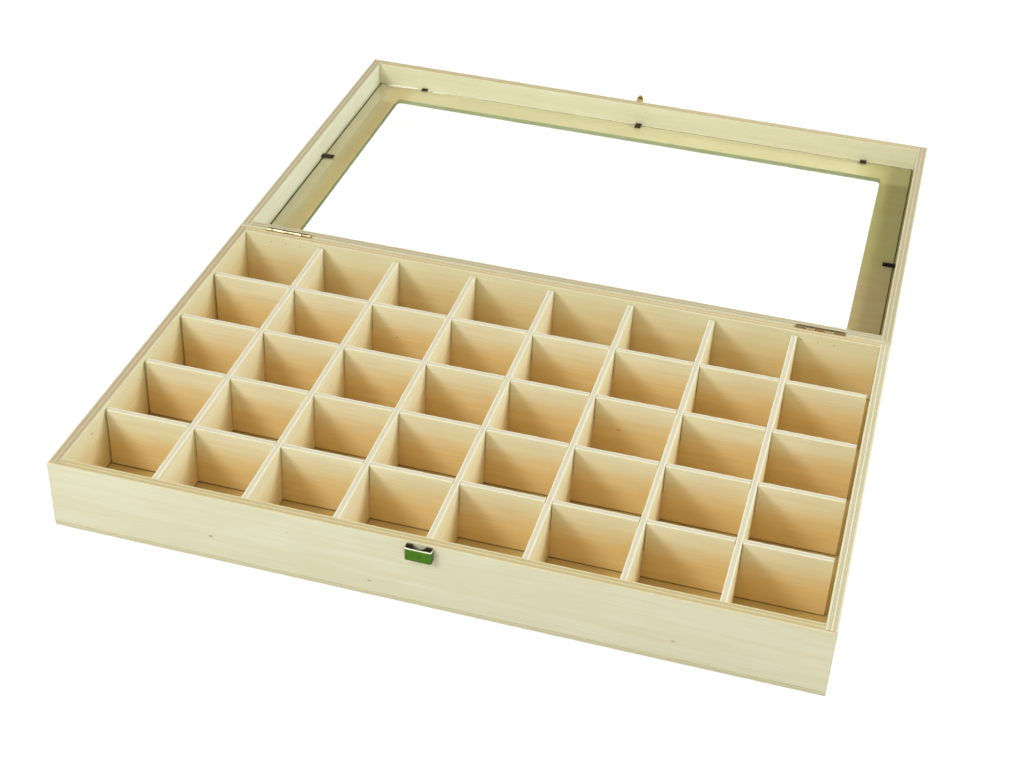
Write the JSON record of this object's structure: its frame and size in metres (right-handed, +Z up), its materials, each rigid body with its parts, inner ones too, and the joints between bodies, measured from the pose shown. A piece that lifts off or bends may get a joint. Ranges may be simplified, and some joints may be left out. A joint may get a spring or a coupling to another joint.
{
  "type": "mineral specimen box",
  "caption": "Flat plywood specimen case with a grid of square compartments and a hinged lid with a clear viewing pane.",
  "frame": {"origin": "centre of the box's bottom face", "axes": "+X to the right seen from the latch side, +Y from the latch side to the hinge side, +Z up"},
  "size_m": [0.4, 0.5066, 0.0445],
  "materials": {
    "wall_ply": "sanded, unfinished five-ply walls",
    "panel_ply": "sanded, unfinished thin plywood panels",
    "strip_ply": "unfinished three-ply divider strips",
    "pane": "clear, polished",
    "brass": "bright pressed sheet",
    "point_steel": "dark flat points"
  },
  "bodies": {
    "box": {"front_wall": "wall_ply", "rear_wall": "wall_ply", "left_wall": "wall_ply", "right_wall": "wall_ply", "bottom_panel": "panel_ply", "hinge_leaf_box_left": "brass", "hinge_leaf_box_right": "brass", "hinge_pin_left": "brass", "hinge_pin_right": "brass", "hinge_nails_box": "brass", "catch_bracket": "brass"},
    "divider_grid": {"cross_divider_1": "strip_ply", "cross_divider_2": "strip_ply", "cross_divider_3": "strip_ply", "cross_divider_4": "strip_ply", "cross_divider_5": "strip_ply", "cross_divider_6": "strip_ply", "cross_divider_7": "strip_ply", "long_divider_1": "strip_ply", "long_divider_2": "strip_ply", "long_divider_3": "strip_ply", "long_divider_4": "strip_ply"},
    "lid": {"lid_front_wall": "wall_ply", "lid_rear_wall": "wall_ply", "lid_left_wall": "wall_ply", "lid_right_wall": "wall_ply", "lid_panel": "panel_ply", "pane": "pane", "glazing_points": "point_steel", "hinge_leaf_lid_left": "brass", "hinge_leaf_lid_right": "brass", "hinge_nails_lid": "brass", "latch_plate": "brass", "latch_nails": "brass"}
  },
  "joints": [
    {"name": "lid_hinge", "type": "hinge", "parent": "box", "child": "lid", "pos_m": [0, 0.1252, 0.04065], "axis": [1, 0, 0], "range_deg": [0, 180]},
    {"name": "grid_lift", "type": "slide", "parent": "box", "child": "divider_grid", "axis": [0, 0, 1], "range_m": [0, 0.012]}
  ]
}
